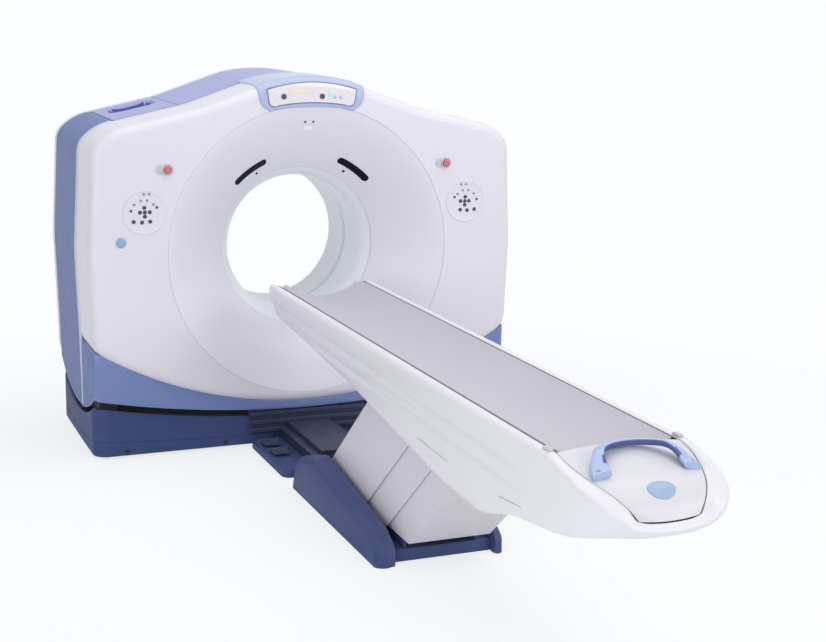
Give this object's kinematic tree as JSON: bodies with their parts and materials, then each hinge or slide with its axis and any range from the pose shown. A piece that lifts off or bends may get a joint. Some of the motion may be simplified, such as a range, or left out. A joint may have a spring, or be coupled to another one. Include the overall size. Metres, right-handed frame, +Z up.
{
  "type": "ct scanner",
  "caption": "Tilting ring-shaped medical scanner with a funnelled bore, blue covers and a low base, joined to a leaning lift table whose long cradle slides into the bore.",
  "frame": {"origin": "on the floor under the centre of the bore, centre of the gantry's anchor holes", "axes": "+Z up, +Y from the table into the bore, +X to the right seen from the table"},
  "size_m": [2.2106, 4.435, 1.866],
  "materials": {
    "white_cover": "satin",
    "funnel_grey": "matt",
    "blue_cover": "satin",
    "top_blue": "satin",
    "trim_blue": "satin",
    "navy_base": "satin",
    "dark_beam": "matt",
    "liner_white": "satin",
    "window_film": "satin",
    "laser_black": "gloss",
    "bezel_blue": "satin",
    "screen": "gloss",
    "panel": "matt",
    "collar_grey": "matt",
    "stop_red": "gloss",
    "steel": "satin",
    "dark_steel": "satin",
    "copper": "satin",
    "rubber": "matt",
    "slat_white": "satin",
    "table_white": "satin",
    "cradle_grey": "matt",
    "handle_blue": "satin"
  },
  "bodies": {
    "base": {"gantry_base": "navy_base", "levelling_feet": "rubber", "tilt_stand_left": "steel", "tilt_stand_right": "steel", "tilt_gearbox": "dark_steel", "table_base": "navy_base", "dock_plate": "navy_base", "dock_beam": "dark_beam", "lift_motor": "dark_steel"},
    "tilting_gantry": {"stator_frame": "steel", "main_bearing": "steel", "drive_coils": "copper", "front_cover": "white_cover", "funnel_ring": "funnel_grey", "lower_trim": "trim_blue", "side_cover_left": "blue_cover", "side_cover_right": "blue_cover", "top_cover": "top_blue", "rear_cover": "white_cover", "rear_funnel": "funnel_grey", "bore_liner_front": "liner_white", "bore_liner_rear": "liner_white", "scan_window": "window_film", "laser_windows": "laser_black", "display_bezel": "bezel_blue", "display_panel": "screen", "control_panel_left": "panel", "control_panel_right": "panel", "stop_collars": "collar_grey", "brush_block": "dark_steel"},
    "rotor": {"rotor_drum": "steel", "slip_ring": "copper", "xray_tube": "dark_steel", "beam_collimator": "dark_steel", "detector_arc": "dark_steel", "high_voltage_unit": "dark_steel", "power_unit": "dark_steel", "balance_weights": "dark_steel"},
    "stop_left": {"stop_button_left": "stop_red"},
    "stop_right": {"stop_button_right": "stop_red"},
    "pedal_up": {"pedal_up": "rubber"},
    "pedal_down": {"pedal_down": "rubber"},
    "arms_front": {"lift_arms_front": "steel"},
    "arms_rear": {"lift_arms_rear": "steel"},
    "slats_head": {"slats_head": "slat_white"},
    "slats_middle": {"slats_middle": "slat_white"},
    "slats_foot": {"slats_foot": "slat_white"},
    "table": {"table_body": "table_white", "table_frame": "steel", "foot_cap": "table_white", "cradle_handle": "handle_blue", "cradle_latches": "dark_beam"},
    "cradle": {"cradle": "cradle_grey", "cradle_carriage": "dark_steel", "head_socket": "dark_steel"}
  },
  "joints": [
    {"name": "gantry_tilt", "type": "hinge", "parent": "base", "child": "tilting_gantry", "pos_m": [0, 0, 1], "axis": [1, 0, 0], "range_deg": [-20, 20]},
    {"name": "rotor_spin", "type": "hinge", "parent": "tilting_gantry", "child": "rotor", "pos_m": [0, 0, 1], "axis": [0, 1, 0], "continuous": true},
    {"name": "stop_left_press", "type": "slide", "parent": "tilting_gantry", "child": "stop_left", "axis": [0, 1, 0], "range_m": [0, 0.005], "stiffness_N_per_m": 800, "springref_m": -0.002},
    {"name": "stop_right_press", "type": "slide", "parent": "tilting_gantry", "child": "stop_right", "axis": [0, 1, 0], "range_m": [0, 0.005], "stiffness_N_per_m": 800, "springref_m": -0.002},
    {"name": "pedal_up_press", "type": "hinge", "parent": "base", "child": "pedal_up", "pos_m": [-0.24, -0.56, 0.06], "axis": [1, 0, 0], "range_deg": [0, 5], "stiffness_Nm_per_rad": 6, "springref_deg": -6.88},
    {"name": "pedal_down_press", "type": "hinge", "parent": "base", "child": "pedal_down", "pos_m": [-0.24, -0.72, 0.06], "axis": [1, 0, 0], "range_deg": [0, 5], "stiffness_Nm_per_rad": 6, "springref_deg": -6.88},
    {"name": "table_lift", "type": "hinge", "parent": "base", "child": "arms_front", "pos_m": [0, -1.7, 0.13], "axis": [-1, 0, 0], "range_deg": [-1, 10]},
    {"name": "rear_arm_swing", "type": "hinge", "parent": "base", "child": "arms_rear", "pos_m": [0, -2.03, 0.13], "axis": [-1, 0, 0], "range_deg": [-1, 10]},
    {"name": "table_level", "type": "hinge", "parent": "arms_front", "child": "table", "pos_m": [0, -2.26, 0.61], "axis": [-1, 0, 0], "range_deg": [-10, 1]},
    {"name": "slats_head_swing", "type": "hinge", "parent": "base", "child": "slats_head", "pos_m": [0, -1.5475, 0.13], "axis": [-1, 0, 0], "range_deg": [-1, 10]},
    {"name": "slats_middle_swing", "type": "hinge", "parent": "base", "child": "slats_middle", "pos_m": [0, -1.9235, 0.13], "axis": [-1, 0, 0], "range_deg": [-1, 10]},
    {"name": "slats_foot_swing", "type": "hinge", "parent": "base", "child": "slats_foot", "pos_m": [0, -2.1605, 0.13], "axis": [-1, 0, 0], "range_deg": [-1, 10]},
    {"name": "cradle_slide", "type": "slide", "parent": "table", "child": "cradle", "axis": [0, 1, 0], "range_m": [0, 1.7]}
  ],
  "couplings": [
    {"joint": "rear_arm_swing", "follows": "table_lift", "ratio": 1},
    {"joint": "table_level", "follows": "table_lift", "ratio": -1},
    {"joint": "slats_head_swing", "follows": "table_lift", "ratio": 1},
    {"joint": "slats_middle_swing", "follows": "table_lift", "ratio": 1},
    {"joint": "slats_foot_swing", "follows": "table_lift", "ratio": 1}
  ]
}
